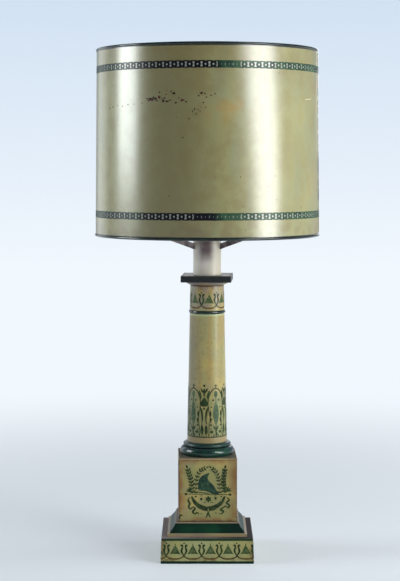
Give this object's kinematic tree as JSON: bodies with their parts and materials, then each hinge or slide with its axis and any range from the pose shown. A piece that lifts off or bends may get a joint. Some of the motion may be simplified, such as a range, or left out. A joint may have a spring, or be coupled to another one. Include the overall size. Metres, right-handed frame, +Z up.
{
  "type": "column table lamp",
  "caption": "Painted tin table lamp: a square pedestal and tapered column carry a candle tube, a screw lampholder with a turn key, and a drum shade on a sliding collar.",
  "frame": {"origin": "middle of the underside, on the table top", "axes": "+Z up along the lamp pipe, -Y the front with the pedestal's emblem, +X to the right"},
  "size_m": [0.3319, 0.332, 0.751],
  "materials": {
    "shade_paint": "satin",
    "stand_paint": "satin",
    "green_paint": "gloss",
    "cream_paint": "satin",
    "tan_paint": "satin",
    "steel": "satin",
    "iron": "matte",
    "brass": "satin",
    "cap_alloy": "satin",
    "black_plastic": "gloss",
    "bushing_rubber": "matte",
    "fibre": "matte",
    "bulb_glass": "gloss",
    "felt": "matte"
  },
  "bodies": {
    "stand": {"felt_pad": "felt", "plinth_box": "stand_paint", "cord_bushing": "bushing_rubber", "base_weight": "iron", "bottom_washer": "steel", "bottom_nut": "steel", "top_nut": "brass", "lamp_pipe": "steel", "base_moulding": "green_paint", "pedestal_die": "stand_paint", "column_foot": "green_paint", "column_shaft": "stand_paint", "shaft_disc_lower": "steel", "shaft_disc_upper": "steel", "astragal_ring": "green_paint", "echinus": "tan_paint", "abacus": "green_paint", "candle_tube": "cream_paint", "tube_seat": "steel", "tube_cap": "brass", "socket_cap": "brass", "socket_shell": "brass", "socket_liner": "fibre", "socket_core": "black_plastic", "terminal_screws": "brass", "screw_shell": "brass", "centre_contact": "brass", "bulb_glass": "bulb_glass", "bulb_cap": "cap_alloy", "bulb_insulator": "black_plastic", "filament_mount": "bulb_glass"},
    "shade": {"shade_wall": "shade_paint", "top_rim_bead": "green_paint", "bottom_rim_bead": "green_paint", "shade_collar": "cream_paint", "shade_arm_1": "tan_paint", "shade_arm_2": "tan_paint", "shade_arm_3": "tan_paint"},
    "clamp_screw": {"clamp_screw": "brass"},
    "switch_key": {"switch_key": "black_plastic"}
  },
  "joints": [
    {"name": "shade_height", "type": "slide", "parent": "stand", "child": "shade", "axis": [0, 0, 1], "range_m": [-0.035, 0.03]},
    {"name": "clamp_screw_turn", "type": "hinge", "parent": "shade", "child": "clamp_screw", "pos_m": [-0.01159, 0.02375, 0.4625], "axis": [-0.4384, 0.8988, 0], "range_deg": [0, 360]},
    {"name": "switch_key_turn", "type": "hinge", "parent": "stand", "child": "switch_key", "pos_m": [0, -0.02, 0.5402], "axis": [0, 1, 0], "continuous": true}
  ]
}
